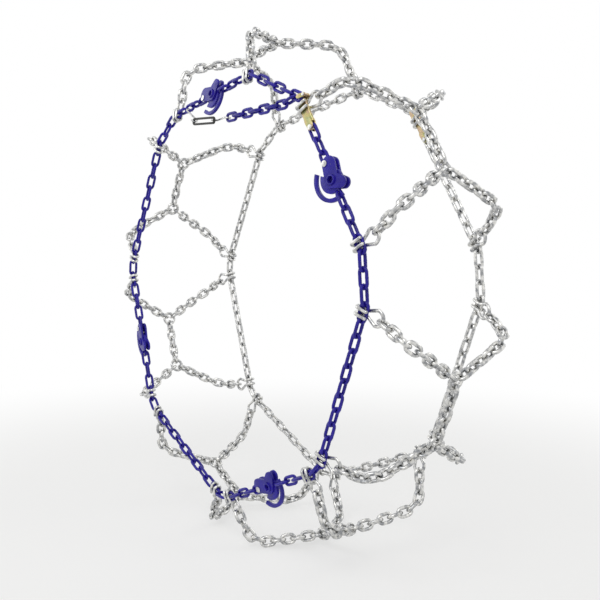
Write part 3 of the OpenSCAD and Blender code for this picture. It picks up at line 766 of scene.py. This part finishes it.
def seen_direct(tree):
    """1 where the camera, a glossy ray or a ray through glass looks, 0 for the rest."""
    path = add_node(tree, "ShaderNodeLightPath")
    first = add_node(tree, "ShaderNodeMath", {
        0: path.outputs["Is Camera Ray"], 1: path.outputs["Is Glossy Ray"]}, operation="MAXIMUM")
    return add_node(tree, "ShaderNodeMath", {
        0: first.outputs["Value"], 1: path.outputs["Is Transmission Ray"]}, operation="MAXIMUM").outputs["Value"]


class SNOW_OT_stage(bpy.types.Operator):
    """Sets the pale floor, the soft lamps and the camera"""
    bl_idname = "snow.stage"
    bl_label = "Stage"

    def execute(self, context):
        studio = context.scene.snow_studio
        scene = context.scene
        scene.view_settings.view_transform = "Standard"

        world = bpy.data.worlds.new("studio")
        tree = empty_tree(world)
        strength = add_node(tree, "ShaderNodeMapRange", {"Value": seen_direct(tree), "To Min": WORLD_FILL})
        shade = add_node(tree, "ShaderNodeBackground", {
            "Color": (1, 1, 1, 1), "Strength": strength.outputs["Result"]})
        add_node(tree, "ShaderNodeOutputWorld", {"Surface": shade.outputs["Background"]})
        scene.world = world

        select_none()
        low = CAD_BOX[0][2]
        bpy.ops.mesh.primitive_grid_add(x_subdivisions=8, y_subdivisions=8, size=PAPER_SIZE, location=(0, 0, low))
        floor = bpy.context.object
        floor.name = "studio_floor"
        bpy.ops.object.transform_apply(location=True)
        floor.data.materials.append(self.floor_material(low))

        for name, (lamp_place, size, power) in LAMPS.items():
            soft_lamp(name, lamp_place, size, getattr(studio, power))

        data = bpy.data.cameras.new("camera")
        data.lens = LENS
        data.sensor_width = SENSOR
        data.shift_x, data.shift_y = SHIFT
        camera = bpy.data.objects.new("camera", data)
        turn, rise = studio.camera_turn, studio.camera_rise
        camera.location = studio.camera_distance * Vector(
            (math.sin(turn) * math.cos(rise), -math.cos(turn) * math.cos(rise), math.sin(rise)))
        camera.rotation_euler = (-camera.location).to_track_quat("-Z", "Y").to_euler()
        scene.collection.objects.link(camera)
        scene.camera = camera
        return {"FINISHED"}

    def floor_material(self, low):
        """Matt white paper that keeps the net's shadow and runs out into the white background."""
        material = bpy.data.materials.new("studio_paper")
        tree = empty_tree(material)
        place = add_node(tree, "ShaderNodeTexCoord").outputs["Object"]
        centred = add_node(tree, "ShaderNodeMapping", {"Vector": place, "Location": (0, 0, -low)})
        away = add_node(tree, "ShaderNodeVectorMath", {0: centred.outputs["Vector"]}, operation="LENGTH")
        faded = add_node(tree, "ShaderNodeMapRange", {
            "Value": away.outputs["Value"], "From Min": PAPER_FADE[0], "From Max": PAPER_FADE[1]},
            interpolation_type="SMOOTHSTEP")
        lifted = add_node(tree, "ShaderNodeMapRange", {"Value": faded.outputs["Result"], "To Min": PAPER_LIFT})
        share = add_node(tree, "ShaderNodeMath", {
            0: lifted.outputs["Result"], 1: seen_direct(tree)}, operation="MULTIPLY")
        paper = add_node(tree, "ShaderNodeBsdfDiffuse", {"Color": linear(PAPER)})
        glow = add_node(tree, "ShaderNodeEmission", {"Color": (1, 1, 1, 1), "Strength": 1.0})
        both = add_node(tree, "ShaderNodeMixShader", {
            0: share.outputs["Value"], 1: paper.outputs["BSDF"], 2: glow.outputs["Emission"]})
        add_node(tree, "ShaderNodeOutputMaterial", {"Surface": both.outputs["Shader"]})
        return material


# ---------------------------------------------------------------- panel and registration

OPERATORS = (
    SNOW_OT_side_chains, SNOW_OT_cross_chains, SNOW_OT_bridge_chains, SNOW_OT_tail_chain, SNOW_OT_take_up_links,
    SNOW_OT_cross_hooks, SNOW_OT_cams, SNOW_OT_joint_hooks, SNOW_OT_tail_tie, SNOW_OT_stage,
)


class SNOW_PT_panel(bpy.types.Panel):
    """Lists the pieces of the net in the order they are made"""
    bl_idname = "SNOW_PT_panel"
    bl_label = "Snow Chain"
    bl_space_type = "VIEW_3D"
    bl_region_type = "UI"
    bl_category = "Snow Chain"

    def draw(self, context):
        for operator in OPERATORS:
            self.layout.operator(operator.bl_idname)
        for group in SETTINGS:
            for key in SETTINGS[group].__annotations__:
                self.layout.prop(getattr(context.scene, group), key)


SETTINGS = {
    "snow_chain": ChainSizes, "snow_plates": PlateSizes, "snow_finishes": FinishColours, "snow_studio": StudioSizes,
}


def register():
    for group, kind in SETTINGS.items():
        bpy.utils.register_class(kind)
        setattr(bpy.types.Scene, group, bpy.props.PointerProperty(type=kind))
    for operator in OPERATORS:
        bpy.utils.register_class(operator)
    bpy.utils.register_class(SNOW_PT_panel)


def unregister():
    bpy.utils.unregister_class(SNOW_PT_panel)
    for operator in reversed(OPERATORS):
        bpy.utils.unregister_class(operator)
    for group, kind in SETTINGS.items():
        delattr(bpy.types.Scene, group)
        bpy.utils.unregister_class(kind)


def main():
    register()
    bpy.ops.snow.side_chains()
    bpy.ops.snow.cross_chains()
    bpy.ops.snow.bridge_chains()
    bpy.ops.snow.tail_chain()
    bpy.ops.snow.take_up_links()
    bpy.ops.snow.cross_hooks()
    bpy.ops.snow.cams()
    bpy.ops.snow.joint_hooks()
    bpy.ops.snow.tail_tie()
    bpy.ops.snow.stage()


if __name__ == "__main__":
    main()
